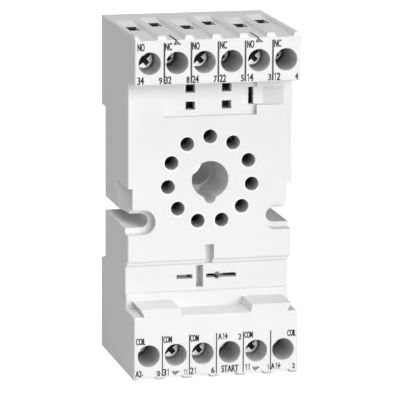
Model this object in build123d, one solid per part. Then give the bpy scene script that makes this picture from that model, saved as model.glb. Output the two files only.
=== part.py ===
from build123d import *
from math import atan2, cos, degrees, hypot, radians, sin
import os

# Plug-in relay socket with eleven round pins, screw terminals and a rail latch, in millimetres.
# X runs across the socket, Z is up, the front faces -Y, and the origin is the middle of the base.
# A depth is measured forward from the flat back of the socket.

# Overall body
width = 38.0
height = 78.3
body_depth = 35.0
lower_block_depth = 34.8
face_depth = 28.1
band_depth = 25.4
low_zone_depth = 26.2
outer_edge_radius = 0.4

# Levels of the front steps, from the base
upper_block_height = 11.0
lower_block_height = 14.7
tab_rise = 1.85
low_zone_top = 18.3
band_top = 24.66
face_bottom = 25.75
ledge_depth = 26.75

# Walls and general clearances
side_wall = 1.5
end_wall = 1.6
inner_face_depth = 24.6
inner_band_depth = 23.4
fit_gap = 0.2
press_gap = 0.02

# Screw terminals
terminals_per_row = 6
end_margin = 0.295
cell_wall = 0.935
upper_row_inset = 6.05
lower_row_inset = 5.75
screw_bore = 5.1
tier_step = 4.9
head_inset = 6.8
head_diameter = 4.1
head_thickness = 1.3
slot_width = 1.0
cross_width = 1.15
cross_reach = 1.62
head_chamfer = 0.1
recess_depth = 0.9
recess_turn = 43.0
shank_diameter = 2.9
shank_hole = 3.3
seat_thickness = 2.2
thread_clearance = 0.05
clamp_travel = 2.4
clamp_height = 6.0
clamp_front_wall = 1.4
clamp_side_wall = 0.75
clamp_rear_wall = 1.2
wire_space = 3.0
strap_thickness = 0.8

# Wire channels on both ends
channel_floor_width = 3.75
channel_drop = 0.95
channel_draft = 0.55
channel_shift = -0.3
channel_ramp_drop = 0.72
channel_lead = 0.2
front_channel_run = 9.3
rear_channel_run = 8.4
wire_entry_width = 2.5
wire_entry_length = 4.9
entry_roof = 0.6
entry_room = 3.0
rib_chamfer = 0.75
notch_width = 1.95
notch_shift = -0.27
notch_apex_drop = 0.9
notch_base_drop = 2.0
notch_depth = 1.5
notch_slit = 0.45
notch_slit_drop = 2.0
notch_slit_run = 7.8

# Plug for the relay
pin_count = 11
pin_circle_radius = 9.81
pin_centre_z = 44.3
pin_hole = 3.25
pin_mouth_margin = 0.3
pin_mouth_depth = 0.12
ring_wall = 1.3
ring_gap = 0.5
guide_bore = 8.5
guide_bore_length = 14.1
guide_wall = 1.1
key_radius = 1.35
key_offset = 4.15
cover_bore = 7.9

# Contacts
clip_diameter = 2.9
clip_wall = 0.2
clip_inset = 5.2
clip_tail = 2.7
clip_slit = 0.5
clip_slit_length = 4.6
clip_collar_diameter = 3.8
clip_collar_length = 0.5
pad_diameter = 4.4
run_width = 1.9
tube_run_radius = 7.4
tube_run_width = 1.0

# Panel screw slots
slot_centre_inset = 3.6
slot_z = 35.0
slot_narrow = 3.3
slot_wide = 5.7
slot_wide_length = 2.8
slot_wall = 1.2
scoop_top = 42.8
scoop_depth = 1.1
scoop_start = 15.0
scoop_lean = 4.4
scoop_steps = 8

# Label recess, square openings and accessory pocket under the upper block
label_recess_width = 21.6
label_recess_drop = 8.5
label_recess_depth = 1.5
label_shift = -0.05
square_width = 2.2
square_height = 1.9
square_spacing_x = 8.4
square_spacing_z = 3.9
square_shift = -0.12
square_drop = 2.35
pocket_left = 7.8
pocket_flat = 4.95
pocket_ramp = 4.15
pocket_depth = 2.2
pocket_drop = 2.25
pocket_height = 4.15
latch_slot_width = 1.2
latch_slot_height = 3.9
latch_slot_x = 9.85
latch_slot_drop = 4.5

# Openings of the lower band
centre_notch_width = 2.0
centre_notch_rise = 3.6
module_slot_z = 21.5
module_slot_height = 0.95
left_slot_x = -7.0
left_slot_width = 3.65
right_slot_x = -0.1
right_slot_width = 7.0
cross_slot_x = 2.4
cross_slot_width = 0.85
cross_slot_height = 1.7
deep_pocket_x = -1.65
deep_pocket_width = 1.6
deep_pocket_height = 5.1
deep_pocket_depth = 3.5
deep_pocket_wall = 0.8
module_leaf_inset = 2.0

# Tabs on the lower block
tab_inner = 8.3
tab_outer = 17.45
tab_inner_lean = 0.3
tab_outer_lean = 0.9

# Rail recess, hooks and latch
rail_height = 35.0
rail_bottom = 22.4
rail_recess = 4.0
rail_flange = 1.0
lip_slope = 0.95
cover_thickness = 1.5
hook_reach = 1.5
hook_width = 6.0
hook_spacing = 14.0
hook_start = 0.2
latch_width = 14.0
latch_tongue = 1.0
latch_thickness = 2.4
latch_inset = 0.4
latch_bottom = 0.6
latch_reach = 1.6
latch_travel = 2.5
latch_nose = 1.2
pull_slot_width = 6.0
pull_slot_height = 1.6
pull_slot_z = 2.2
spring_window_width = 3.6
spring_window_bottom = 6.0
spring_stop_height = 1.5
spring_diameter = 2.4
spring_wire = 0.4
spring_turns = 7
spring_length = 8.4

# Screws that hold the rear cover
cover_screw_shank = 2.1
cover_screw_head = 4.0
cover_screw_length = 8.0
cover_boss = 3.5
upper_boss_drop = 4.95
lower_boss_offset = 4.0
lower_boss_drop = 4.7

# Values that follow from the ones above
back_y = body_depth / 2
half_width = width / 2
terminal_pitch = (width - 2 * end_margin) / terminals_per_row
cell_width = terminal_pitch - cell_wall
clamp_width = cell_width - 2 * fit_gap
strap_end_width = clamp_width - 2 * clamp_side_wall - 2 * fit_gap
upper_row_z = height - upper_row_inset
lower_row_z = lower_row_inset
upper_block_bottom = height - upper_block_height
cell_height = clamp_height + 2 * fit_gap
clamp_depth = clamp_front_wall + fit_gap + strap_thickness + wire_space + clamp_rear_wall
front_strap_depth = body_depth - head_inset - head_thickness - seat_thickness - clamp_travel
front_strap_depth -= clamp_front_wall + strap_thickness + 2.5 * fit_gap
rear_strap_depth = front_strap_depth - tier_step
middle_strap_depth = (front_strap_depth + rear_strap_depth) / 2
clip_rear_depth = rear_strap_depth - clip_tail
ring_rear_depth = front_strap_depth + strap_thickness + ring_gap
upper_cavity_top = upper_row_z - cell_height / 2 - end_wall
lower_cavity_bottom = lower_row_z + cell_height / 2 + end_wall
pin_step = 360.0 / pin_count
rail_top = rail_bottom + rail_height
cover_floor_depth = rail_recess + cover_thickness
past = 1.0

upper_pins = [9, 8, 7, 5, 3, 4]
upper_front_tier = [True, False, True, False, True, False]
lower_pins = [10, 11, 6, 2, 1, 2]
lower_front_tier = [False, True, True, False, True, False]


def terminal_x(index):
    return (index - (terminals_per_row - 1) / 2) * terminal_pitch


def pin_position(pin):
    turn = radians((6 - pin) * pin_step)
    return (pin_circle_radius * sin(turn), pin_centre_z + pin_circle_radius * cos(turn))


def block(x0, x1, depth0, depth1, z0, z1):
    """Box between two sides, two depths and two heights."""
    centre = Pos((x0 + x1) / 2, back_y - (depth0 + depth1) / 2, (z0 + z1) / 2)
    return centre * Box(x1 - x0, depth1 - depth0, z1 - z0)


def rod(x, z, depth0, depth1, radius):
    """Round bar along the depth."""
    return Pos(x, back_y - (depth0 + depth1) / 2, z) * Rot(90, 0, 0) * Cylinder(radius, depth1 - depth0)


def slab(sketch, depth0, depth1):
    """A shape drawn across the front, thickened between two depths."""
    return extrude(Plane.XZ.offset(depth0 - back_y) * sketch, amount=depth1 - depth0, dir=(0, -1, 0))


def side_prism(points, x0, x1):
    """A polygon of (depth, height) points, thickened between two sides."""
    outline = Polygon(*[(back_y - depth, z) for depth, z in points], align=None)
    return extrude(Plane.YZ.offset(x0) * outline, amount=x1 - x0, dir=(1, 0, 0))


def plan_prism(points, z0, z1):
    """A polygon of (x, depth) points, thickened between two heights."""
    outline = Polygon(*[(x, back_y - depth) for x, depth in points], align=None)
    return extrude(Plane.XY.offset(z0) * outline, amount=z1 - z0, dir=(0, 0, 1))


def strip(points, strip_width):
    """Flat strip with round corners through a list of (x, z) points."""
    shape = Sketch()
    for (x0, z0), (x1, z1) in zip(points, points[1:]):
        turn = degrees(atan2(z1 - z0, x1 - x0))
        span = hypot(x1 - x0, z1 - z0)
        shape += Pos((x0 + x1) / 2, (z0 + z1) / 2) * Rot(0, 0, turn) * SlotCenterToCenter(span, strip_width)
    return shape


def both_sides(shape):
    return shape + mirror(shape, Plane.YZ)


def terminals():
    """Every terminal: row name, number, x, row height, front tier or not, and its pin."""
    rows = [("top", upper_row_z, upper_pins, upper_front_tier)]
    rows += [("bottom", lower_row_z, lower_pins, lower_front_tier)]
    for row, row_z, pins, tiers in rows:
        for index, (pin, front) in enumerate(zip(pins, tiers)):
            yield row, index + 1, terminal_x(index), row_z, front, pin


def strap_depth(front):
    return front_strap_depth if front else rear_strap_depth


def block_depth(row):
    return body_depth if row == "top" else lower_block_depth


# Housing
def outer_body():
    """The moulding's outside before anything is cut into it."""
    profile = [
        (0, 0),
        (lower_block_depth, 0),
        (lower_block_depth, lower_block_height),
        (low_zone_depth, lower_block_height),
        (low_zone_depth, low_zone_top),
        (band_depth, low_zone_top),
        (band_depth, band_top),
        (ledge_depth, band_top),
        (ledge_depth, face_bottom),
        (face_depth, face_bottom),
        (face_depth, upper_block_bottom),
        (body_depth, upper_block_bottom),
        (body_depth, height),
        (0, height),
        (0, rail_top),
        (rail_recess, rail_top),
        (rail_recess, rail_bottom),
        (0, rail_bottom - lip_slope),
    ]
    inside_corners = [profile[index] for index in (3, 5, 6, 8, 10, 15, 16)]
    body = side_prism(profile, -half_width, half_width)
    across = body.edges().filter_by(Axis.X)
    outer = [edge for edge in across if not near_corner(edge, inside_corners)]
    around = [edge for edge in body.edges() if edge not in across]
    body = fillet(outer + around, outer_edge_radius)
    return body + both_sides(lower_tab())


def near_corner(edge, corners):
    middle = edge.center()
    return any(hypot(back_y - middle.Y - depth, middle.Z - z) < press_gap for depth, z in corners)


def lower_tab():
    """Raised tab beside the middle of the lower block, leaning outwards."""
    top = lower_block_height + tab_rise
    foot = lower_block_height - past
    share = (top - foot) / tab_rise
    points = [(tab_inner, top), (tab_outer, top)]
    points += [(tab_outer - tab_outer_lean * share, foot), (tab_inner - tab_inner_lean * share, foot)]
    return slab(Polygon(*points, align=None), low_zone_depth - past, lower_block_depth)


def inner_space():
    """The hollow behind the face, open to the back and closed by the rear cover."""
    inner = half_width - side_wall
    space = block(-inner, inner, -past, inner_band_depth, lower_cavity_bottom, upper_cavity_top)
    space += block(-inner, inner, 0, inner_face_depth, face_bottom + side_wall, upper_cavity_top)
    space += block(-inner, inner, -past, cover_thickness, end_wall, height - end_wall)
    core_top = lower_block_height - side_wall
    space += block(-inner, inner, 0, lower_block_depth - side_wall, lower_cavity_bottom, core_top)
    return space


def inner_walls():
    """What stands inside the hollow: pin ring, guide tube, slot walls and screw bosses."""
    ring_outer = pin_circle_radius + pin_hole / 2 + ring_wall
    walls = rod(0, pin_centre_z, ring_rear_depth, face_depth - past, ring_outer)
    tube_end = face_depth - guide_bore_length
    walls += slab(guide_outline(guide_wall), tube_end, face_depth - past)
    slot_x = half_width - slot_centre_inset
    cover_face = cover_floor_depth
    round_wall = rod(slot_x, slot_z, cover_face, face_depth - past, slot_narrow / 2 + slot_wall)
    half = slot_narrow / 2 + slot_wall
    side = half_width - past / 2
    round_wall += block(slot_x, side, cover_face, face_depth - past, slot_z - half, slot_z + half)
    wide_start = face_depth - slot_wide_length - slot_wall
    wide = slot_wide / 2 + slot_wall
    round_wall += rod(slot_x, slot_z, wide_start, face_depth - past, wide)
    round_wall += block(slot_x, side, wide_start, face_depth - past, slot_z - wide, slot_z + wide)
    walls += both_sides(round_wall)
    for x, z, cover_depth in cover_screw_places():
        walls += rod(x, z, cover_depth + cover_thickness, inner_face_depth + past / 2, cover_boss / 2)
    half_pocket = deep_pocket_width / 2 + deep_pocket_wall
    half_rise = deep_pocket_height / 2 + deep_pocket_wall
    pocket_back = band_depth - deep_pocket_depth - deep_pocket_wall
    walls += block(
        deep_pocket_x - half_pocket,
        deep_pocket_x + half_pocket,
        pocket_back,
        inner_band_depth + past / 2,
        module_slot_z - half_rise,
        module_slot_z + half_rise,
    )
    scoop_inner = half_width - side_wall - scoop_depth
    walls += both_sides(
        block(
            scoop_inner,
            half_width - past / 2,
            scoop_start,
            face_depth - past,
            slot_z,
            scoop_top + side_wall,
        )
    )
    inner = half_width - side_wall / 2
    return walls & block(-inner, inner, 0, face_depth, 0, height)


def guide_outline(wall):
    """The round guide opening with its key below, grown by a wall."""
    shape = Pos(0, pin_centre_z) * Circle(guide_bore / 2 + wall)
    shape += Pos(0, pin_centre_z - key_offset) * Circle(key_radius + wall)
    return shape


def terminal_cuts():
    """Screw bores, clamp cells and the ways in for wires and straps."""
    cuts = Part()
    for row, number, x, row_z, front, pin in terminals():
        cell_front = strap_depth(front) + strap_thickness + clamp_front_wall + clamp_travel + 2 * fit_gap
        seat = cell_front + seat_thickness
        cuts += rod(x, row_z, seat, block_depth(row) + past, screw_bore / 2)
        cuts += rod(x, row_z, cell_front - past, seat + past, shank_hole / 2)
        half = cell_width / 2
        low = row_z - cell_height / 2
        high = row_z + cell_height / 2
        cuts += block(x - half, x + half, 0, cell_front, low, high)
        half = strap_end_width / 2 + fit_gap
        middle = (lower_cavity_bottom + upper_cavity_top) / 2
        way_low, way_high = (middle, row_z) if row == "top" else (row_z, middle)
        strap_front = strap_depth(front) + strap_thickness + press_gap
        way_low = max(way_low, upper_cavity_top - past) if row == "top" else way_low
        way_high = min(way_high, lower_cavity_bottom + past) if row == "bottom" else way_high
        cuts += block(x - half, x + half, 0, strap_front, way_low, way_high)
        entry_depth = strap_depth(front) - wire_space / 2
        half = wire_entry_width / 2
        long = wire_entry_length / 2
        entry_low, entry_high = (row_z, height + past) if row == "top" else (-past, row_z)
        cuts += block(x - half, x + half, entry_depth - long, entry_depth + long, entry_low, entry_high)
        roof = channel_drop + entry_roof
        room_low, room_high = (row_z, height - roof) if row == "top" else (roof, row_z)
        half = cell_width / 2
        cuts += block(x - half, x + half, entry_depth - long - entry_room, entry_depth, room_low, room_high)
    return cuts


def end_cuts():
    """Sloping wire channels and chamfered ribs on both ends."""
    cuts = Part()
    for row, number, x, row_z, front, pin in terminals():
        start = strap_depth(front) - (front_channel_run if front else rear_channel_run)
        entry_rear = strap_depth(front) - (wire_space + wire_entry_length) / 2 - channel_lead
        stages = [(start, 0), (entry_rear, channel_ramp_drop), (block_depth(row) + past, channel_drop)]
        sections = [channel_section(row, x + channel_shift, drop, depth) for depth, drop in stages]
        cuts += loft(sections, ruled=True)
    for surface, upward, depth in ((height, 1, body_depth), (0, -1, lower_block_depth)):
        points = [(depth - rib_chamfer, surface), (depth, surface - upward * rib_chamfer)]
        points += [(depth + past, surface - upward * rib_chamfer), (depth + past, surface + upward * past)]
        points += [(depth - rib_chamfer, surface + upward * past)]
        cuts += side_prism(points, -half_width - past, half_width + past)
    return cuts


def channel_section(row, centre, drop, depth):
    """Cross-section of a wire channel at a depth, with sides that open outwards."""
    upward = 1 if row == "top" else -1
    surface = height if row == "top" else 0
    floor = surface - upward * drop
    top = surface + upward * past
    half = channel_floor_width / 2
    spread = half + channel_draft * (drop + past)
    points = [(centre - half, floor), (centre + half, floor), (centre + spread, top), (centre - spread, top)]
    return (Plane.XZ.offset(depth - back_y) * Polygon(*points, align=None)).face()


def release_notches():
    """Triangular notches with a slit in the channel floor, at the second and fifth terminals of both ends."""
    cuts = Part()
    for surface, upward, depth in ((height, 1, body_depth), (0, -1, lower_block_depth)):
        for x in (terminal_x(1), terminal_x(terminals_per_row - 2)):
            tip = x + notch_shift
            apex = surface - upward * notch_apex_drop
            base = surface - upward * notch_base_drop
            left = x - notch_width / 2
            triangle = Polygon((tip, apex), (left, base), (left + notch_width, base), align=None)
            cuts += slab(triangle, depth - notch_depth, depth + past)
            low, high = sorted((surface - upward * notch_slit_drop, surface + upward * past))
            half = notch_slit / 2
            cuts += block(tip - half, tip + half, depth - notch_slit_run, depth + past, low, high)
    return cuts


def plug_cuts():
    """Pin holes with shallow stepped mouths, and the keyed guide opening."""
    cuts = slab(guide_outline(0), 0, face_depth + past)
    for pin in range(1, pin_count + 1):
        x, z = pin_position(pin)
        cuts += rod(x, z, ring_rear_depth - past, face_depth + past, pin_hole / 2)
        mouth = Cylinder(pin_hole / 2 + pin_mouth_margin, pin_mouth_depth + past)
        cuts += Pos(x, back_y - face_depth - (past - pin_mouth_depth) / 2, z) * Rot(-90, 0, 0) * mouth
    return cuts


def panel_slots():
    """Open slots in both sides for panel screws, with room for the screw heads."""
    slot_x = half_width - slot_centre_inset
    cut = rod(slot_x, slot_z, -past, face_depth + past, slot_narrow / 2)
    half = slot_narrow / 2
    cut += block(slot_x, half_width + past, -past, face_depth + past, slot_z - half, slot_z + half)
    start = face_depth - slot_wide_length
    half = slot_wide / 2
    cut += rod(slot_x, slot_z, start, face_depth + past, half)
    cut += block(slot_x, half_width + past, start, face_depth + past, slot_z - half, slot_z + half)
    return both_sides(cut)


def side_scoops():
    """Shallow hollowed scoop above each panel slot, deepest at the face."""
    out = half_width + past

    def section(start):
        points = []
        for step in range(scoop_steps + 1):
            part = step / scoop_steps
            deep = half_width - scoop_depth * (1 - (1 - part) ** 2)
            points.append((deep, back_y - start - part * (face_depth - start)))
        points.append((half_width - scoop_depth, back_y - face_depth - past))
        points += [(out, back_y - face_depth - past), (out, back_y - start)]
        return Polygon(*points, align=None)

    upper = Plane.XY.offset(scoop_top) * section(scoop_start)
    lower = Plane.XY.offset(slot_z) * section(scoop_start + scoop_lean)
    return both_sides(loft([lower.face(), upper.face()], ruled=True))


def front_details():
    """Label recess, square openings, accessory pocket and the openings of the band."""
    left = label_shift - label_recess_width / 2
    right = label_shift + label_recess_width / 2
    low = upper_block_bottom - label_recess_drop
    recess_floor = face_depth - label_recess_depth
    cuts = block(left, right, recess_floor, face_depth + past, low, upper_block_bottom)
    for side in (-1, 1):
        for step in (0, 1):
            x = square_shift + side * square_spacing_x / 2
            z = upper_block_bottom - square_drop - step * square_spacing_z
            half = square_width / 2
            tall = square_height / 2
            cuts += block(x - half, x + half, inner_face_depth - past, face_depth, z - tall, z + tall)
    high = upper_block_bottom - pocket_drop
    low = high - pocket_height
    flat_end = pocket_left + pocket_flat
    points = [(pocket_left, face_depth + past), (pocket_left, face_depth - pocket_depth)]
    points += [(flat_end, face_depth - pocket_depth), (flat_end + pocket_ramp, face_depth)]
    points += [(flat_end + pocket_ramp, face_depth + past)]
    cuts += plan_prism(points, low, high)
    half = latch_slot_width / 2
    middle = upper_block_bottom - latch_slot_drop
    tall = latch_slot_height / 2
    x = latch_slot_x
    cuts += block(x - half, x + half, inner_face_depth - past, face_depth, middle - tall, middle + tall)
    half = centre_notch_width / 2
    notch_top = face_bottom + centre_notch_rise
    cuts += block(-half, half, band_depth, face_depth + past, face_bottom - past, notch_top)
    return cuts + band_openings()


def band_openings():
    """Two contact slots for a plug-in module, with a cross slot and a deep pocket."""
    start = inner_band_depth - past
    end = band_depth + past
    half = module_slot_height / 2
    low = module_slot_z - half
    high = module_slot_z + half
    cuts = block(left_slot_x, left_slot_x + left_slot_width, start, end, low, high)
    cuts += block(right_slot_x, right_slot_x + right_slot_width, start, end, low, high)
    half = cross_slot_width / 2
    tall = cross_slot_height / 2
    x = cross_slot_x
    cuts += block(x - half, x + half, start, end, module_slot_z - tall, module_slot_z + tall)
    half = deep_pocket_width / 2
    tall = deep_pocket_height / 2
    x = deep_pocket_x
    floor = band_depth - deep_pocket_depth
    cuts += block(x - half, x + half, floor, end, module_slot_z - tall, module_slot_z + tall)
    return cuts


def cover_screw_places():
    """Where the cover screws stand: x, z and the depth of the cover's outer face there."""
    left = (terminal_x(0) + terminal_x(1)) / 2
    right = (terminal_x(3) + terminal_x(4)) / 2 + 2 * fit_gap
    upper = upper_cavity_top - upper_boss_drop
    lower = slot_z - lower_boss_drop
    side = pin_circle_radius + lower_boss_offset
    return [(left, upper, 0), (right, upper, 0), (-side, lower, rail_recess), (side, lower, rail_recess)]


def make_housing():
    inner = half_width - side_wall
    body = outer_body() - inner_space()
    body += inner_walls()
    body -= terminal_cuts()
    body -= end_cuts()
    body -= release_notches()
    body -= plug_cuts()
    body -= panel_slots()
    body -= side_scoops()
    body -= front_details()
    for x, z, depth in cover_screw_places():
        end = depth + cover_screw_length + past
        body -= rod(x, z, depth, end, cover_screw_shank / 2 + press_gap)
    half = latch_width / 2 + latch_tongue + fit_gap
    body -= block(-half, half, -past, latch_channel_depth(), -past, end_wall + past)
    half += cover_thickness + fit_gap
    channel_back = latch_channel_depth() + cover_thickness + fit_gap / 2
    body -= block(-half, half, 0, channel_back, end_wall, lower_cavity_bottom + past)
    body -= block(-inner, inner, -past, rail_recess + cover_thickness, rail_bottom, rail_top)
    return body


# Rear cover
def latch_channel_depth():
    return latch_inset + latch_thickness + fit_gap


def make_rear_cover():
    """Cover set into the back, with the rail recess, fixed hooks and posts behind the pins."""
    half = half_width - side_wall - fit_gap / 2
    low = end_wall + fit_gap / 2
    high = height - end_wall - fit_gap / 2
    thick = cover_thickness
    floor = rail_recess
    profile = [
        (0, high),
        (0, rail_top),
        (floor, rail_top),
        (floor, rail_bottom),
        (0, rail_bottom - lip_slope),
        (0, low),
        (thick, low),
        (thick, rail_bottom - lip_slope - thick),
        (floor + thick, rail_bottom - thick),
        (floor + thick, rail_top + thick),
        (thick, rail_top + thick),
        (thick, high),
    ]
    cover = side_prism(profile, -half, half)
    channel = latch_channel_depth()
    ear = -terminal_x(0) + cell_width / 2 - fit_gap / 2
    for row_z in (lower_row_z, upper_row_z):
        tall = cell_height / 2 - fit_gap / 2
        cover += block(-ear, ear, 0, thick, row_z - tall, row_z + tall)
    outer = latch_width / 2 + latch_tongue + fit_gap + thick
    cover += block(-outer, outer, 0, channel + thick, low, rail_bottom - lip_slope)
    groove = latch_width / 2 + latch_tongue + fit_gap
    groove_start = latch_inset + latch_thickness / 2 - fit_gap
    cover -= block(-groove, groove, groove_start, channel, low - past, rail_bottom + past)
    mouth = latch_width / 2 + fit_gap
    cover -= block(-mouth, mouth, -past, channel, low - past, rail_bottom + past)
    stop_half = spring_window_width / 2 - fit_gap
    stop_high = spring_window_bottom + spring_stop_height + latch_travel
    stop_low = stop_high - spring_stop_height
    cover += block(-stop_half, stop_half, latch_inset, channel + past / 2, stop_low, stop_high)
    for side in (-1, 1):
        x = side * hook_spacing / 2
        hook_front = rail_recess - rail_flange - fit_gap
        points = [(hook_start, rail_top + past), (hook_start, rail_top - hook_reach + past / 2)]
        points += [(past, rail_top - hook_reach), (hook_front, rail_top - hook_reach)]
        points += [(hook_front, rail_top + past)]
        cover += side_prism(points, x - hook_width / 2, x + hook_width / 2)
    tube_end = face_depth - guide_bore_length
    cover += rod(0, pin_centre_z, floor, tube_end, guide_bore / 2 + guide_wall)
    for pin in range(1, pin_count + 1):
        x, z = pin_position(pin)
        cover += rod(x, z, floor, clip_rear_depth, clip_collar_diameter / 2 - fit_gap)
    cover -= rod(0, pin_centre_z, -past, tube_end + past, cover_bore / 2)
    slot_x = half_width - slot_centre_inset
    round_half = slot_narrow / 2 + slot_wall + fit_gap / 2
    window = rod(slot_x, slot_z, -past, clip_rear_depth, round_half)
    window += block(slot_x, half_width, -past, clip_rear_depth, slot_z - round_half, slot_z + round_half)
    window = window & block(-half_width, half_width, cover_floor_depth, clip_rear_depth, 0, height)
    cover -= both_sides(window)
    half = slot_narrow / 2
    through = rod(slot_x, slot_z, -past, clip_rear_depth, half)
    through += block(slot_x, half_width, -past, clip_rear_depth, slot_z - half, slot_z + half)
    cover -= both_sides(through)
    for x, z, depth in cover_screw_places():
        cover -= cover_screw_shape(x, z, depth, press_gap)
    return cover


def cover_screw_shape(x, z, depth, gap):
    """Countersunk screw with its head flush at a depth."""
    radius = cover_screw_shank / 2 + gap
    head = cover_screw_head / 2 + gap
    cone_length = head - radius
    shank = rod(x, z, depth, depth + cover_screw_length, radius)
    cone = Cone(radius, head, cone_length)
    centre = Pos(x, back_y - depth - cone_length / 2, z)
    return shank + centre * Rot(-90, 0, 0) * cone


def make_cover_screws():
    """Four identical self-cutting screws with a cross recess."""
    screws = []
    for x, z, depth in cover_screw_places():
        screw = cover_screw_shape(x, z, depth, 0)
        reach = cover_screw_head / 3
        wide = cover_screw_head / 12
        deep = cover_screw_head / 5
        screw -= block(x - reach, x + reach, depth - past, depth + deep, z - wide, z + wide)
        screw -= block(x - wide, x + wide, depth - past, depth + deep, z - reach, z + reach)
        screws.append(screw.solid())
    return Compound(children=screws)


# Rail latch and its spring
def make_latch():
    """Sliding latch whose sloping nose grips the lower edge of the rail."""
    top = rail_bottom - lip_slope
    half = latch_width / 2
    start = latch_inset
    end = latch_inset + latch_thickness
    latch = block(-half, half, start, end, latch_bottom, top)
    tongue = half + latch_tongue
    tongue_start = start + latch_thickness / 2
    latch += block(-tongue, tongue, tongue_start, end, latch_bottom, top - latch_travel)
    nose_top = rail_bottom + latch_reach
    nose_front = rail_recess - rail_flange - fit_gap
    points = [(start, top - past), (start, nose_top - latch_nose)]
    points += [(nose_front - latch_nose / 2, nose_top), (nose_front, nose_top), (nose_front, top - past)]
    latch += side_prism(points, -half, half)
    window_top = spring_top()
    window_half = spring_window_width / 2
    latch -= block(-window_half, window_half, start - past, end + past, spring_window_bottom, window_top)
    pull_half = pull_slot_width / 2
    pull_top = pull_slot_z + pull_slot_height
    latch -= block(-pull_half, pull_half, start - past, end + past, pull_slot_z, pull_top)
    return latch


def spring_bottom():
    return spring_window_bottom + spring_stop_height + latch_travel


def spring_top():
    return spring_bottom() + spring_length


def make_spring():
    """Compression spring between the cover's stop and the latch."""
    mean_radius = (spring_diameter - spring_wire) / 2
    run = spring_length - spring_wire - 2 * press_gap
    path = Helix(run / spring_turns, run, mean_radius)
    section = Plane(path @ 0, z_dir=path % 0) * Circle(spring_wire / 2)
    coil = sweep(section, path=path)
    depth = latch_inset + latch_thickness / 2
    return Pos(0, back_y - depth, spring_bottom() + spring_wire / 2 + press_gap) * coil


# Terminals
def make_terminal_screw(row, x, row_z, front):
    """Captive screw with a slot and a short cross groove in its head."""
    head_top = strap_depth(front) + strap_thickness + clamp_front_wall + clamp_travel
    head_top += seat_thickness + 2.5 * fit_gap + head_thickness
    under_head = head_top - head_thickness
    tip = strap_depth(front) + strap_thickness + press_gap
    screw = rod(0, 0, under_head, head_top, head_diameter / 2)
    screw = chamfer(screw.edges().filter_by(GeomType.CIRCLE).group_by(Axis.Y)[0], head_chamfer)
    screw += rod(0, 0, tip, under_head, shank_diameter / 2)
    far = head_diameter
    floor = head_top - recess_depth
    slot = block(-far, far, floor, head_top + past, -slot_width / 2, slot_width / 2)
    cross = block(-cross_width / 2, cross_width / 2, floor, head_top + past, -far, far)
    cross = cross & rod(0, 0, floor, head_top + past, cross_reach)
    recess = Rot(0, -recess_turn, 0) * (slot + cross)
    core = Cone(slot_width / 4, slot_width * 0.75, recess_depth * 1.5)
    recess += Pos(0, back_y - head_top + recess_depth * 0.75, 0) * Rot(90, 0, 0) * core
    return Pos(x, 0, row_z) * (screw - recess)


def make_clamp(x, row_z, front):
    """Square cage around the strap: the screw turns in its front wall and draws it forward."""
    inner_front = strap_depth(front) + strap_thickness + fit_gap
    outer_front = inner_front + clamp_front_wall
    outer_rear = outer_front - clamp_depth
    half = clamp_width / 2
    low = row_z - clamp_height / 2
    high = row_z + clamp_height / 2
    cage = block(x - half, x + half, outer_rear, outer_front, low, high)
    cage = fillet(cage.edges().filter_by(Axis.Z), clamp_side_wall / 2)
    inner = half - clamp_side_wall
    cage -= block(x - inner, x + inner, outer_rear + clamp_rear_wall, inner_front, low - past, high + past)
    cage -= rod(x, row_z, inner_front - past, outer_front + past, shank_diameter / 2 + thread_clearance)
    return cage


# Contacts
def strap_end(row, index, bend_z):
    """Straight end of a strap, from a height up or down into its clamp."""
    x = terminal_x(index)
    half = strap_end_width / 2
    reach = clamp_height / 2 + fit_gap / 2
    if row == "top":
        return Pos(x, (bend_z + upper_row_z + reach) / 2) * Rectangle(2 * half, upper_row_z + reach - bend_z)
    low = lower_row_z - reach
    return Pos(x, (bend_z + low) / 2) * Rectangle(2 * half, bend_z - low)


def strap_shape(pin, row, index, route):
    """Strap outline from a pin's pad along a route to its terminal."""
    start = pin_position(pin)
    if row == "top":
        bend_z = upper_cavity_top - strap_end_width / 2
        finish = (terminal_x(index), bend_z + run_width / 2)
    else:
        bend_z = lower_cavity_bottom + strap_end_width / 2
        finish = (terminal_x(index), bend_z - run_width / 2)
    shape = strip([start] + route + [finish], run_width)
    shape += Pos(*start) * Circle(pad_diameter / 2)
    return shape + strap_end(row, index, bend_z)


def strap_routes():
    """The way each pin's strap takes round the guide tube, slots and bosses."""
    outer_x = terminal_x(0)
    ring = pin_circle_radius
    side_x = ring + run_width * 1.8
    above = pin_centre_z
    high = above + 0.72 * (upper_cavity_top - above)
    shoulder_low = pin_centre_z - 1.6 * ring
    shoulder_side = ring - run_width / 6
    left_shoulder = [(-shoulder_side, above - 1.1 * ring), (-shoulder_side, shoulder_low)]
    right_shoulder = [(shoulder_side, above - 1.1 * ring), (shoulder_side, shoulder_low)]
    return {
        9: ("top", 0, [(-side_x, above + run_width), (outer_x, above + 2 * run_width)]),
        8: ("top", 1, [(terminal_x(1), above + 0.9 * ring)]),
        7: ("top", 2, [(-run_width, above + 1.25 * ring), (-run_width, upper_cavity_top - 2 * run_width)]),
        5: ("top", 3, [(terminal_x(3), above + 1.35 * ring)]),
        3: ("top", 4, [(side_x, above + run_width), (side_x, high)]),
        4: ("top", 5, [(side_x, above + 0.7 * ring), (-outer_x, above + ring)]),
        10: ("bottom", 0, left_shoulder + [(outer_x, band_top)]),
        11: ("bottom", 1, [(-run_width * 2, above - 1.4 * ring), (terminal_x(1), band_top)]),
        1: ("bottom", 4, [(run_width * 2, above - 1.4 * ring), (terminal_x(4), band_top)]),
        2: ("bottom", 5, right_shoulder + [(-outer_x, band_top)]),
    }


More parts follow.
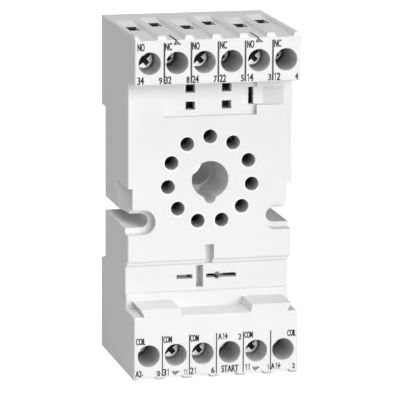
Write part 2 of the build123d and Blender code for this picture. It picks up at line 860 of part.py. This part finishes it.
def make_strap(pin):
    if pin == 6:
        return make_long_strap()
    row, index, route = strap_routes()[pin]
    tiers = upper_front_tier if row == "top" else lower_front_tier
    depth = strap_depth(tiers[index])
    outline = strap_shape(pin, row, index, route)
    if pin == 2:
        branch = [route[1], (terminal_x(3), band_top)]
        outline += strip(branch, run_width)
        outline += strip([branch[1], (terminal_x(3), lower_cavity_bottom)], run_width)
        outline += strap_end("bottom", 3, lower_cavity_bottom + strap_end_width / 2)
    if pin == 10:
        slot_middle = left_slot_x + left_slot_width / 2
        outline += strip([route[1], (slot_middle, band_top)], run_width)
        outline += strip([(slot_middle, band_top), (slot_middle, module_slot_z)], run_width)
    x, z = pin_position(pin)
    outline -= Pos(x, z) * Circle(clip_diameter / 2 + press_gap)
    strap = slab(outline, depth, depth + strap_thickness)
    if pin == 2:
        strap += module_fork(right_slot_x + right_slot_width / 2, depth)
    if pin == 10:
        strap += module_fork(left_slot_x + left_slot_width / 2, depth)
    return strap


def module_fork(x, depth):
    """Two leaves that reach forward from a strap to a module slot."""
    leaf = strap_thickness / 4
    gap = module_slot_height / 4
    front = band_depth - module_leaf_inset
    half = run_width / 2
    low = module_slot_z - run_width
    fork = block(x - half, x + half, depth, depth + strap_thickness, low, module_slot_z + half)
    for side in (-1, 1):
        low = module_slot_z + side * (gap / 2 + leaf / 2) - leaf / 2
        fork += block(x - half, x + half, depth, front, low, low + leaf)
    return fork


def make_long_strap():
    """Strap of the top pin: it runs round the guide tube and down between the lowest pins."""
    start = pin_position(6)
    depth = middle_strap_depth
    radius = tube_run_radius
    centre = Pos(0, pin_centre_z)
    ring = centre * (Circle(radius + tube_run_width / 2) - Circle(radius - tube_run_width / 2))
    left_half = Pos(-radius, pin_centre_z) * Rectangle(2 * radius, 3 * radius)
    outline = ring & left_half
    outline += strip([start, (0, pin_centre_z + radius)], tube_run_width)
    outline += Pos(*start) * Circle(pad_diameter / 2)
    x = terminal_x(2)
    below = pin_centre_z - 1.7 * pin_circle_radius
    bend_z = lower_cavity_bottom + strap_end_width + strap_thickness
    lower = [(0, pin_centre_z - radius), (0, below), (x, below + x), (x, bend_z)]
    outline += strip(lower, tube_run_width)
    outline -= Pos(*start) * Circle(clip_diameter / 2 + press_gap)
    strap = slab(outline, depth, depth + strap_thickness)
    front = front_strap_depth + strap_thickness
    half = strap_end_width / 2
    strap += block(x - half, x + half, depth, front, bend_z - strap_thickness, bend_z)
    return strap + slab(strap_end("bottom", 2, bend_z), front_strap_depth, front)


def make_clip(pin):
    """Sprung sleeve that grips one relay pin, slit from its front end."""
    x, z = pin_position(pin)
    front = face_depth - clip_inset
    clip = rod(x, z, clip_rear_depth, front, clip_diameter / 2)
    if pin == 6:
        depth = middle_strap_depth
    else:
        row, index, route = strap_routes()[pin]
        tiers = upper_front_tier if row == "top" else lower_front_tier
        depth = strap_depth(tiers[index])
    clip += rod(x, z, depth - clip_collar_length, depth, clip_collar_diameter / 2)
    clip -= rod(x, z, clip_rear_depth + clip_wall, front + past, clip_diameter / 2 - clip_wall)
    half = clip_slit / 2
    far = clip_diameter
    start = front - clip_slit_length
    slit = block(-far, far, start, front + past, -half, half)
    turn = -pin * pin_step
    return clip - Pos(x, 0, z) * Rot(0, turn, 0) * slit


def main():
    os.makedirs("parts", exist_ok=True)
    pieces = {
        "housing": make_housing(),
        "rear_cover": make_rear_cover(),
        "cover_screws": make_cover_screws(),
        "rail_latch": make_latch(),
        "latch_spring": make_spring(),
    }
    for row, number, x, row_z, front, pin in terminals():
        pieces[f"terminal_screw_{row}_{number}"] = make_terminal_screw(row, x, row_z, front)
        pieces[f"wire_clamp_{row}_{number}"] = make_clamp(x, row_z, front)
    for pin in range(1, pin_count + 1):
        pieces[f"contact_strap_{pin}"] = make_strap(pin)
        pieces[f"pin_clip_{pin}"] = make_clip(pin)
    for name, piece in pieces.items():
        export_step(piece, f"parts/{name}.step")


main()
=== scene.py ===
import math

import bpy
from mathutils import Matrix, Vector


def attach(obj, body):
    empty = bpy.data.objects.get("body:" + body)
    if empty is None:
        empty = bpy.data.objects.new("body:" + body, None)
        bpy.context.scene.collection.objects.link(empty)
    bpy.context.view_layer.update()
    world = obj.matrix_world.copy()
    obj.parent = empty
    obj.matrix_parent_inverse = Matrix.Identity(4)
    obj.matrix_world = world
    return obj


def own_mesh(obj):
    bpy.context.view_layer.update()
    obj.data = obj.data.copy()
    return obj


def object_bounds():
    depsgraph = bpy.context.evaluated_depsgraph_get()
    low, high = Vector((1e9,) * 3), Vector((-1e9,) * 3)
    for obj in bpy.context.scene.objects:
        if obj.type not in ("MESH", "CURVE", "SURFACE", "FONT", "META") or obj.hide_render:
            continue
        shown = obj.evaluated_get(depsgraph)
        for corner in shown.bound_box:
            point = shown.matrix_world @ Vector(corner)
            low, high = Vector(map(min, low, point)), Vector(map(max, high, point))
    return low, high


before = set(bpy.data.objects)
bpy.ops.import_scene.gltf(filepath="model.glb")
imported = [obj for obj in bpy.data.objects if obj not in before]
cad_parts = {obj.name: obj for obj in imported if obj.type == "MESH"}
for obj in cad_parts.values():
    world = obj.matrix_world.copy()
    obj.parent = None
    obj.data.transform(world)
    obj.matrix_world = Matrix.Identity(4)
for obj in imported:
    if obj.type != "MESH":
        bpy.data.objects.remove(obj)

cad_low, cad_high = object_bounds()
scene = bpy.context.scene
MM = 0.001

# Sizes of the socket in millimetres, where depths are measured forward from the back
WIDTH = round((cad_high[0] - cad_low[0]) / MM, 3)
HEIGHT = round((cad_high[2] - cad_low[2]) / MM, 3)
BACK_Y = round(cad_high[1] / MM, 3)
UPPER_FRONT = round((cad_high[1] - cad_low[1]) / MM, 3)
LOWER_FRONT = UPPER_FRONT - 0.2
TERMINALS = 6
END_MARGIN = 0.295
PITCH = (WIDTH - 2 * END_MARGIN) / TERMINALS

# Where the wells of the terminals lie, whose walls get painted shade: from the middle plane, from half
# height, and by depth, then the painted shade's tones along the depth
WELL_SIDE = 18.4
WELL_NEAR = 28.6
WELL_FAR = 37.6
WELL_MOUTH = 34.0
WELL_FLOOR = 19.0
WELL_SHADE_STOPS = [(0.0, 1.0), (0.15, 0.9), (0.65, 0.75), (1.0, 0.03)]

# Wire entries: depth of their middles, half sizes, and the tones of the painted shade inside them
TOP_FRONT_TIER = [True, False, True, False, True, False]
BOTTOM_FRONT_TIER = [False, True, True, False, True, False]
FRONT_ENTRY = 18.1
REAR_ENTRY = 13.2
ENTRY_HALF = (1.20, 2.46, 3.0)
ENTRY_SHADE_STOPS = [(0.0, 1.0), (1.0, 0.02)]

# Narrow slits in the upper channels of the second and fifth terminals, with painted shade inside them
SLIT_TERMINALS = (1, 4)
SLIT_SHIFT = -0.27
SLIT_HALF = (0.235, 3.9, 2.1)
SLIT_SHADE_SHARE = 0.8

# Pin holes: their circle, the painted highlight on the step of their mouths, and the painted shade on their
# walls behind it
PIN_CENTRE_Z = 44.3
PIN_CIRCLE = 9.81
PIN_BAND = 1.8
PIN_STEP = 27.98
PIN_STEP_REACH = 0.06
PIN_STEP_HIGHLIGHT = 0.22
PIN_MOUTH = 27.9
PIN_FALL = 5.0
PIN_SHADE_STOPS = [(0.0, 1.0), (0.2, 0.95), (1.0, 0.50)]

# Lettering: how far the ink stands out and reaches in, its weight, and the widths of its characters
INK_HEIGHT = 0.012
LETTER_WEIGHT = 0.016
LETTER_SPREAD = 0.05
LETTER_GAP = 0.22
SHARES = {"1": 0.55, "-": 0.6, "+": 0.9, "A": 1.1}

# Markings of the upper row: left and right edge from the bore axis, bottom and top
TOP_WORD_BOX = (-2.78, -1.22, 75.08, 76.80)
TOP_LEFT_BOX = (-2.80, -1.36, 67.62, 69.34)
TOP_RIGHT_BOX = (2.10, 2.76, 67.62, 69.14)
TOP_WORDS = ["NO", "NC", "NO", "NC", "NO", "NC"]
TOP_LEFT = ["34", "32", "24", "22", "14", "12"]
TOP_RIGHT = ["9", "8", "7", "5", "3", "4"]

# Markings of the lower row by terminal: text, left and right edge from the bore axis, bottom and top
BOTTOM_MARKS = {
    1: [("COIL", -2.90, -0.84, 8.42, 9.94), ("A2-", -3.08, -1.32, 0.98, 2.52), ("10", 1.66, 2.60, 1.0, 2.3)],
    2: [("COM", -2.86, -0.94, 8.64, 10.16), ("31", -2.98, -1.64, 1.04, 2.62), ("11", 1.84, 2.62, 1.0, 2.34)],
    3: [("COM", -2.92, -0.96, 8.64, 10.18), ("21", -2.88, -1.58, 1.08, 2.66), ("6", 2.00, 2.72, 1.08, 2.44)],
    4: [("A1+", -2.70, -0.46, 8.78, 10.24), ("2", 2.04, 2.68, 8.54, 9.94), ("START", -1.86, 2.06, 1.1, 2.74)],
    5: [("COM", -2.82, -0.88, 8.80, 10.30), ("11", -2.67, -1.54, 1.36, 2.76), ("1", 2.48, 2.92, 1.22, 2.38)],
    6: [("A1+", -2.76, -0.58, 1.26, 2.68), ("2", 2.24, 2.80, 1.18, 2.40), ("COIL", 1.0, 2.92, 8.72, 10.22)],
}

# Printed lines between the terminals: places across, width, and bottom and top
TOP_LINES = (-12.30, -6.16, 0.00, 6.20, 12.50)
TOP_LINE_WIDTH = 0.40
TOP_LINE_SPAN = (67.60, 76.85)
BOTTOM_LINES = (-12.47, -6.20, 0.05, 6.30, 12.68)
BOTTOM_LINE_WIDTH = 0.27
BOTTOM_LINE_SPAN = (0.95, 10.35)
LINE_END_STEPS = 8

# Camera: place in millimetres, directions, and focal length and image middle in pixels
CAMERA_PLACE = (-183.809, -749.206, 194.359)
CAMERA_FORWARD = (0.23281993, 0.95214018, -0.19805038)
CAMERA_RIGHT = (0.97162721, -0.23645522, 0.00543125)
CAMERA_UP = (0.04165874, 0.19369564, 0.9801768)
IMAGE_SIDE = 400.0
FOCAL_LENGTH = 3444.819
IMAGE_MIDDLE = (196.2449, 195.5939)
SENSOR_WIDTH = 36.0

# Floor and light
FLOOR_HALF = 6.0
FLOOR_GLOW = 0.80
WORLD_LIGHT = 0.09


# Node helpers
class Nodes:
    """Short way to add and link the nodes of one material."""

    def __init__(self, name, material=None):
        self.material = material or bpy.data.materials.new(name)
        self.material.use_nodes = True
        self.tree = self.material.node_tree
        self.shader = self.tree.nodes["Principled BSDF"]
        self.output = self.tree.nodes["Material Output"]

    def add(self, kind, **values):
        node = self.tree.nodes.new(kind)
        for key, value in values.items():
            if key in node.inputs:
                node.inputs[key].default_value = value
            else:
                setattr(node, key, value)
        return node

    def link(self, start, end):
        self.tree.links.new(start, end)

    def ramp(self, source, low, high, start=0.35, end=0.65):
        """Colour ramp between two colours or greys."""
        node = self.tree.nodes.new("ShaderNodeValToRGB")
        node.color_ramp.elements[0].position = start
        node.color_ramp.elements[1].position = end
        node.color_ramp.elements[0].color = colour(low)
        node.color_ramp.elements[1].color = colour(high)
        self.link(source, node.inputs["Fac"])
        return node.outputs["Color"]

    def noise(self, scale, detail=3.0, stretch=(1, 1, 1)):
        """Noise in the part's own coordinates, with its scale per metre."""
        place = self.add("ShaderNodeTexCoord")
        mapping = self.add("ShaderNodeMapping")
        mapping.inputs["Scale"].default_value = stretch
        texture = self.add("ShaderNodeTexNoise", Scale=scale, Detail=detail)
        self.link(place.outputs["Object"], mapping.inputs["Vector"])
        self.link(mapping.outputs["Vector"], texture.inputs["Vector"])
        return texture.outputs["Fac"]

    def math(self, operation, source, value=0.0):
        """One sum on a socket and a number or a second socket."""
        node = self.add("ShaderNodeMath", operation=operation)
        self.link(source, node.inputs[0])
        if hasattr(value, "links"):
            self.link(value, node.inputs[1])
        else:
            node.inputs[1].default_value = value
        return node.outputs[0]

    def vector_math(self, operation, source, value=(0, 0, 0)):
        """One sum on a vector socket and a fixed vector."""
        node = self.add("ShaderNodeVectorMath", operation=operation)
        self.link(source, node.inputs[0])
        node.inputs[1].default_value = value
        return node

    def bump(self, height, strength, distance, under=None):
        node = self.add("ShaderNodeBump", Strength=strength, Distance=distance)
        self.link(height, node.inputs["Height"])
        if under is not None:
            self.link(under, node.inputs["Normal"])
        return node.outputs["Normal"]

    def scale_base(self, factor):
        """Multiply what feeds the base colour by a colour or a value."""
        base = self.shader.inputs["Base Color"]
        node = self.add("ShaderNodeMix", data_type="RGBA", blend_type="MULTIPLY")
        node.inputs[0].default_value = 1.0
        self.link(base.links[0].from_socket, node.inputs[6])
        self.link(factor, node.inputs[7])
        self.link(node.outputs[2], base)

    def darken(self, amount, stops):
        """Multiply the base colour by a ramp of (position, tone) stops along an amount."""
        tone = self.ramp(amount, stops[0][1], stops[-1][1], stops[0][0], stops[-1][0])
        for position, value in stops[1:-1]:
            tone.node.color_ramp.elements.new(position).color = colour(value)
        self.scale_base(tone)


def colour(value):
    if isinstance(value, (int, float)):
        value = (value, value, value)
    return (*value, 1.0)


def terminal_x(index):
    return (index - (TERMINALS - 1) / 2) * PITCH


# Materials
def plastic(name, tone, spread=0.015, grain=0.05, rough=(0.42, 0.52), gloss=0.4):
    """Fine-grained moulded plastic with faint flow marks."""
    n = Nodes(name)
    cloud = n.noise(90, 4)
    low = [c * (1 - spread) for c in tone]
    high = [min(1.0, c * (1 + spread)) for c in tone]
    n.link(n.ramp(cloud, low, high, 0.3, 0.7), n.shader.inputs["Base Color"])
    n.link(n.ramp(n.noise(700, 3), rough[0], rough[1]), n.shader.inputs["Roughness"])
    fine = n.bump(n.noise(6500, 2), grain, 0.00002)
    wide = n.bump(n.noise(260, 2), grain * 0.6, 0.0001, fine)
    n.link(wide, n.shader.inputs["Normal"])
    n.shader.inputs["Specular IOR Level"].default_value = gloss
    return n.material


def box_mask(n, point, centre, half):
    """One inside a box, given by its centre and half sizes in millimetres, and nought outside."""
    away = n.vector_math("SUBTRACT", point, [c * MM for c in centre])
    size = n.vector_math("ABSOLUTE", away.outputs[0])
    past = n.vector_math("SUBTRACT", size.outputs[0], [h * MM for h in half])
    split = n.add("ShaderNodeSeparateXYZ")
    n.link(past.outputs[0], split.inputs["Vector"])
    most = n.math("MAXIMUM", split.outputs["X"], split.outputs["Y"])
    return n.math("LESS_THAN", n.math("MAXIMUM", most, split.outputs["Z"]), 0.0)


def depth_share(n, y, mouth, length):
    """Nought in front of a depth, rising to one over a length behind it."""
    behind = n.math("MAXIMUM", n.math("SUBTRACT", y, (BACK_Y - mouth) * MM), 0.0)
    return n.math("MINIMUM", n.math("MULTIPLY", behind, 1 / (length * MM)), 1.0)


def shade_wells(n, split):
    """Painted shade: walls of the screw wells are painted darker towards their floors."""
    across = n.math("ABSOLUTE", split.outputs["X"])
    height = n.math("ABSOLUTE", n.math("SUBTRACT", split.outputs["Z"], HEIGHT / 2 * MM))
    inside = n.math("LESS_THAN", across, WELL_SIDE * MM)
    inside = n.math("MULTIPLY", inside, n.math("GREATER_THAN", height, WELL_NEAR * MM))
    inside = n.math("MULTIPLY", inside, n.math("LESS_THAN", height, WELL_FAR * MM))
    fall = depth_share(n, split.outputs["Y"], WELL_MOUTH, WELL_MOUTH - WELL_FLOOR)
    n.darken(n.math("MULTIPLY", fall, inside), WELL_SHADE_STOPS)


def shade_entries(n, point):
    """Painted shade: wire entries are painted dark inside, and so are the slits in the upper channels."""
    dark = 0.0
    for row_z, tiers in ((HEIGHT, TOP_FRONT_TIER), (0.0, BOTTOM_FRONT_TIER)):
        for index, front in enumerate(tiers):
            depth = FRONT_ENTRY if front else REAR_ENTRY
            centre = (terminal_x(index), BACK_Y - depth, row_z)
            dark = n.math("MAXIMUM", box_mask(n, point, centre, ENTRY_HALF), dark)
    # Painted shade inside the slits, a little lighter than in the entries
    for index in SLIT_TERMINALS:
        centre = (terminal_x(index) + SLIT_SHIFT, BACK_Y - UPPER_FRONT + SLIT_HALF[1], HEIGHT)
        slit = n.math("MULTIPLY", box_mask(n, point, centre, SLIT_HALF), SLIT_SHADE_SHARE)
        dark = n.math("MAXIMUM", slit, dark)
    n.darken(dark, ENTRY_SHADE_STOPS)


def shade_pin_holes(n, point, split):
    """Pin holes get a painted highlight on the step at the mouth and painted shade on the walls behind it."""
    flat = n.vector_math("MULTIPLY_ADD", point, (1, 0, 1))
    flat.inputs[2].default_value = (0, 0, -PIN_CENTRE_Z * MM)
    reach = n.vector_math("LENGTH", flat.outputs[0])
    off_circle = n.math("ABSOLUTE", n.math("SUBTRACT", reach.outputs["Value"], PIN_CIRCLE * MM))
    ring = n.math("LESS_THAN", off_circle, PIN_BAND * MM)
    fall = depth_share(n, split.outputs["Y"], PIN_MOUTH, PIN_FALL)
    n.darken(n.math("MULTIPLY", fall, ring), PIN_SHADE_STOPS)
    near_face = n.math("COMPARE", split.outputs["Y"], (BACK_Y - PIN_STEP) * MM)
    near_face.node.inputs[2].default_value = PIN_STEP_REACH * MM
    gain = n.math("MULTIPLY", n.math("MULTIPLY", near_face, ring), PIN_STEP_HIGHLIGHT)
    n.scale_base(n.math("ADD", gain, 1.0))


def shade_openings(material):
    """Painted shade inside the housing's openings, and a painted highlight on the pin hole mouths, from the
    part's own coordinates.
    """
    n = Nodes(material.name, material)
    point = n.add("ShaderNodeTexCoord").outputs["Object"]
    split = n.add("ShaderNodeSeparateXYZ")
    n.link(point, split.inputs["Vector"])
    shade_wells(n, split)
    shade_entries(n, point)
    shade_pin_holes(n, point, split)


def turned_metal(name, low, high, rough=(0.24, 0.40), rings=34.0, face_share=0.03, shade_behind_face=0.03):
    """Plated metal with fine turning rings, and painted shade on everything behind its front face."""
    n = Nodes(name)
    place = n.add("ShaderNodeTexCoord")
    shift = n.add("ShaderNodeMapping")
    shift.inputs["Location"].default_value = (-0.5, 0.0, -0.5)
    n.link(place.outputs["Generated"], shift.inputs["Vector"])
    wave = n.add("ShaderNodeTexWave", Scale=rings, Distortion=0.6, Detail=2.0)
    wave.wave_type = "RINGS"
    wave.rings_direction = "Y"
    n.link(shift.outputs["Vector"], wave.inputs["Vector"])
    spots = n.noise(1500, 4)
    n.link(n.ramp(spots, low, high, 0.3, 0.75), n.shader.inputs["Base Color"])
    n.link(n.ramp(n.noise(2600, 3), rough[0], rough[1]), n.shader.inputs["Roughness"])
    split = n.add("ShaderNodeSeparateXYZ")
    n.link(place.outputs["Generated"], split.inputs["Vector"])
    # Painted shade: everything behind the front face, the cross recess too, is painted nearly black
    n.scale_base(n.ramp(split.outputs["Y"], 1.0, shade_behind_face, face_share, face_share * 2))
    lines = n.bump(wave.outputs["Fac"], 0.12, 0.00003)
    n.link(n.bump(spots, 0.05, 0.00005, lines), n.shader.inputs["Normal"])
    n.shader.inputs["Metallic"].default_value = 1.0
    return n.material


def sheet_metal(name, low, high, rough=(0.28, 0.42), stretch=(1, 1, 14)):
    """Rolled metal with streaks along the roll and small stains."""
    n = Nodes(name)
    streaks = n.noise(900, 3, stretch)
    worn = n.math("MULTIPLY", streaks, n.noise(420, 5))
    n.link(n.ramp(worn, low, high, 0.12, 0.42), n.shader.inputs["Base Color"])
    n.link(n.ramp(streaks, rough[0], rough[1]), n.shader.inputs["Roughness"])
    n.link(n.bump(streaks, 0.08, 0.00004), n.shader.inputs["Normal"])
    n.shader.inputs["Metallic"].default_value = 1.0
    return n.material


def ink(name, tone):
    """Pad-printed ink, slightly uneven."""
    n = Nodes(name)
    n.link(n.ramp(n.noise(3800, 4), tone, tone * 1.7), n.shader.inputs["Base Color"])
    n.link(n.ramp(n.noise(1900, 3), 0.45, 0.65), n.shader.inputs["Roughness"])
    n.link(n.bump(n.noise(7000, 2), 0.05, 0.00002), n.shader.inputs["Normal"])
    return n.material


housing_plastic = plastic("housing_plastic", (0.80, 0.80, 0.797))
# Painted shade and a painted highlight inside the housing's openings
shade_openings(housing_plastic)
cover_plastic = plastic("cover_plastic", (0.76, 0.76, 0.755), grain=0.07)
latch_plastic = plastic("latch_plastic", (0.72, 0.72, 0.71), grain=0.06, rough=(0.38, 0.48))
screw_metal = turned_metal("plated_screw", (0.80, 0.79, 0.77), (0.97, 0.97, 0.95), rough=(0.36, 0.50))
clamp_metal = sheet_metal("plated_clamp", (0.50, 0.50, 0.49), (0.74, 0.74, 0.72))
# Tinned contacts, painted darker than tin to stand in for the shade deep in the slots
contact_metal = sheet_metal("tinned_contact_painted_shade", (0.34, 0.33, 0.31), (0.60, 0.59, 0.56))
# Tinned pin clips, painted nearly black to stand in for the shade deep in the pin holes
clip_metal = sheet_metal("tinned_clip_painted_shade", (0.12, 0.12, 0.12), (0.26, 0.26, 0.25))
spring_metal = sheet_metal("spring_wire", (0.40, 0.40, 0.41), (0.62, 0.62, 0.62), stretch=(6, 6, 1))
dark_ink = ink("dark_ink", 0.010)
line_ink = ink("line_ink", 0.045)
fine_line_ink = ink("fine_line_ink", 0.020)

finishes = {
    "housing": housing_plastic,
    "rear_cover": cover_plastic,
    "rail_latch": latch_plastic,
    "latch_spring": spring_metal,
    "cover_screws": screw_metal,
    "terminal_screw": screw_metal,
    "wire_clamp": clamp_metal,
    "pin_clip": clip_metal,
    "contact_strap": contact_metal,
}
for node_name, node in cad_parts.items():
    start = next(name for name in finishes if node_name.startswith(name))
    node.data.materials.clear()
    node.data.materials.append(finishes[start])


# Printed markings
def add_piece(name, points, faces, material):
    """A printed piece on the front of the housing, from points in millimetres."""
    mesh = bpy.data.meshes.new(name)
    mesh.from_pydata([[c * MM for c in point] for point in points], [], faces)
    mesh.update()
    mesh.materials.append(material)
    piece = bpy.data.objects.new(name, mesh)
    scene.collection.objects.link(piece)
    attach(piece, "socket")


def font_shape(text):
    """Points and faces of flat lettering, stretched to fill a unit cube."""
    curve = bpy.data.curves.new("lettering", "FONT")
    curve.body = text
    curve.extrude = 0.02
    curve.offset = LETTER_WEIGHT
    maker = bpy.data.objects.new("lettering", curve)
    scene.collection.objects.link(maker)
    bpy.context.view_layer.update()
    depsgraph = bpy.context.evaluated_depsgraph_get()
    mesh = bpy.data.meshes.new_from_object(maker.evaluated_get(depsgraph))
    bpy.data.objects.remove(maker)
    bpy.data.curves.remove(curve)
    low = [min(v.co[axis] for v in mesh.vertices) for axis in range(3)]
    high = [max(v.co[axis] for v in mesh.vertices) for axis in range(3)]
    points = [[(v.co[a] - low[a]) / (high[a] - low[a]) for a in range(3)] for v in mesh.vertices]
    faces = [tuple(face.vertices) for face in mesh.polygons]
    bpy.data.meshes.remove(mesh)
    return points, faces


def one_shape():
    """A figure one with a short flag, in a unit cube."""
    outline = [(0.62, 0.0), (1.0, 0.0), (1.0, 1.0), (0.70, 1.0), (0.0, 0.80), (0.0, 0.68), (0.62, 0.82)]
    count = len(outline)
    points = [[x, y, layer] for layer in (0.0, 1.0) for x, y in outline]
    faces = [tuple(range(count - 1, -1, -1)), tuple(range(count, 2 * count))]
    faces += [(i, (i + 1) % count, (i + 1) % count + count, i + count) for i in range(count)]
    return points, faces


def glyph_shape(text):
    """Lettering in a unit cube: a one has its own outline, and a nine is a six turned round."""
    if text == "1":
        return one_shape()
    if text == "9":
        points, faces = font_shape("6")
        return [[1 - u, 1 - v, w] for u, v, w in points], faces
    return font_shape(text)


def letters(name, text, x0, x1, z0, z1, front):
    """Flat lettering on a front face, filling a box in millimetres."""
    pieces = list(text) if "1" in text else [text]
    shares = [SHARES.get(letter, 1.0) for letter in text]
    scale = (x1 - x0) / (sum(shares) + LETTER_GAP * (len(text) - 1))
    points = []
    faces = []
    left = x0
    for piece in pieces:
        wide = x1 - x0 if len(pieces) == 1 else SHARES.get(piece, 1.0) * scale
        shape, sides = glyph_shape(piece)
        shifts = [0.0] if piece == "1" else [-LETTER_SPREAD, LETTER_SPREAD]
        for copy, shift in enumerate(shifts):
            first = len(points)
            surface = BACK_Y - front - copy * INK_HEIGHT / 8
            for u, v, w in shape:
                y = surface + INK_HEIGHT * (1 - 2 * w)
                points.append((left + u * wide + shift, y, z0 + v * (z1 - z0)))
            faces += [tuple(first + corner for corner in side) for side in sides]
        left += wide + LETTER_GAP * scale
    add_piece(name, points, faces, dark_ink)


def bar(name, x, width, span, front, material):
    """Printed line between two terminals, with softly rounded ends."""
    half = width / 2
    outline = []
    for middle, start_angle in ((span[1] - half, 0.0), (span[0] + half, math.pi)):
        for step in range(LINE_END_STEPS + 1):
            turn = start_angle + math.pi * step / LINE_END_STEPS
            outline.append((x + half * math.cos(turn), middle + half * math.sin(turn)))
    face_y = BACK_Y - front
    points = [(px, y, pz) for y in (face_y + INK_HEIGHT, face_y - INK_HEIGHT) for px, pz in outline]
    count = len(outline)
    faces = [tuple(range(count)), tuple(range(2 * count - 1, count - 1, -1))]
    faces += [(i, i + count, (i + 1) % count + count, (i + 1) % count) for i in range(count)]
    add_piece(name, points, faces, material)


upper_marks = [("word", TOP_WORDS, TOP_WORD_BOX), ("left", TOP_LEFT, TOP_LEFT_BOX)]
upper_marks += [("right", TOP_RIGHT, TOP_RIGHT_BOX)]
for index in range(TERMINALS):
    x = terminal_x(index)
    for kind, texts, (left, right, low, high) in upper_marks:
        letters(f"mark_top_{kind}_{index + 1}", texts[index], x + left, x + right, low, high, UPPER_FRONT)
for number, marks in BOTTOM_MARKS.items():
    x = terminal_x(number - 1)
    for order, (text, left, right, low, high) in enumerate(marks):
        letters(f"mark_bottom_{number}_{order + 1}", text, x + left, x + right, low, high, LOWER_FRONT)

for index, x in enumerate(TOP_LINES):
    bar(f"line_top_{index + 1}", x, TOP_LINE_WIDTH, TOP_LINE_SPAN, UPPER_FRONT, line_ink)
for index, x in enumerate(BOTTOM_LINES):
    bar(f"line_bottom_{index + 1}", x, BOTTOM_LINE_WIDTH, BOTTOM_LINE_SPAN, LOWER_FRONT, fine_line_ink)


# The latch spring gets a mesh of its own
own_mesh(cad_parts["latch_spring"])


# Floor, light and camera
def make_floor():
    """Pale floor that a camera sees as plain white."""
    mesh = bpy.data.meshes.new("floor")
    side = FLOOR_HALF
    corners = [(-side, -side, 0), (side, -side, 0), (side, side, 0), (-side, side, 0)]
    mesh.from_pydata(corners, [], [(0, 1, 2, 3)])
    floor = bpy.data.objects.new("floor", mesh)
    scene.collection.objects.link(floor)
    n = Nodes("pale_floor")
    n.link(n.ramp(n.noise(3, 2), 0.66, 0.68), n.shader.inputs["Base Color"])
    n.shader.inputs["Roughness"].default_value = 0.8
    n.shader.inputs["Specular IOR Level"].default_value = 0.1
    glow = n.add("ShaderNodeEmission")
    glow.inputs["Color"].default_value = (1, 1, 1, 1)
    glow.inputs["Strength"].default_value = FLOOR_GLOW
    path = n.add("ShaderNodeLightPath")
    both = n.add("ShaderNodeAddShader")
    seen = n.add("ShaderNodeMixShader")
    n.link(n.shader.outputs[0], both.inputs[0])
    n.link(glow.outputs[0], both.inputs[1])
    n.link(path.outputs["Is Camera Ray"], seen.inputs["Fac"])
    n.link(n.shader.outputs[0], seen.inputs[1])
    n.link(both.outputs[0], seen.inputs[2])
    n.link(seen.outputs[0], n.output.inputs["Surface"])
    mesh.materials.append(n.material)


def make_world():
    world = bpy.data.worlds.new("studio")
    world.use_nodes = True
    world.node_tree.nodes["Background"].inputs["Color"].default_value = (1, 1, 1, 1)
    world.node_tree.nodes["Background"].inputs["Strength"].default_value = WORLD_LIGHT
    scene.world = world


def add_sun(name, direction, strength, softness):
    """Sun that shines from a direction, with its softness in degrees."""
    light = bpy.data.lights.new(name, "SUN")
    light.energy = strength
    light.angle = math.radians(softness)
    lamp = bpy.data.objects.new(name, light)
    lamp.rotation_euler = Vector(direction).to_track_quat("Z", "Y").to_euler()
    scene.collection.objects.link(lamp)


def make_camera():
    data = bpy.data.cameras.new("camera")
    data.sensor_width = SENSOR_WIDTH
    data.sensor_fit = "HORIZONTAL"
    data.lens = FOCAL_LENGTH / IMAGE_SIDE * SENSOR_WIDTH
    data.shift_x = (IMAGE_SIDE / 2 - IMAGE_MIDDLE[0]) / IMAGE_SIDE
    data.shift_y = (IMAGE_MIDDLE[1] - IMAGE_SIDE / 2) / IMAGE_SIDE
    data.clip_start = 0.05
    data.clip_end = 20.0
    camera = bpy.data.objects.new("camera", data)
    turn = Matrix((CAMERA_RIGHT, CAMERA_UP, -Vector(CAMERA_FORWARD))).transposed()
    camera.matrix_world = Matrix.Translation(Vector(CAMERA_PLACE) * MM) @ turn.to_4x4()
    scene.collection.objects.link(camera)
    scene.camera = camera


make_floor()
make_world()
add_sun("key", (0.30, -0.93, 0.20), 2.82, 45)
add_sun("top", (-0.30, -0.12, 0.94), 1.82, 50)
make_camera()
scene.view_settings.view_transform = "Standard"
scene.view_settings.look = "None"
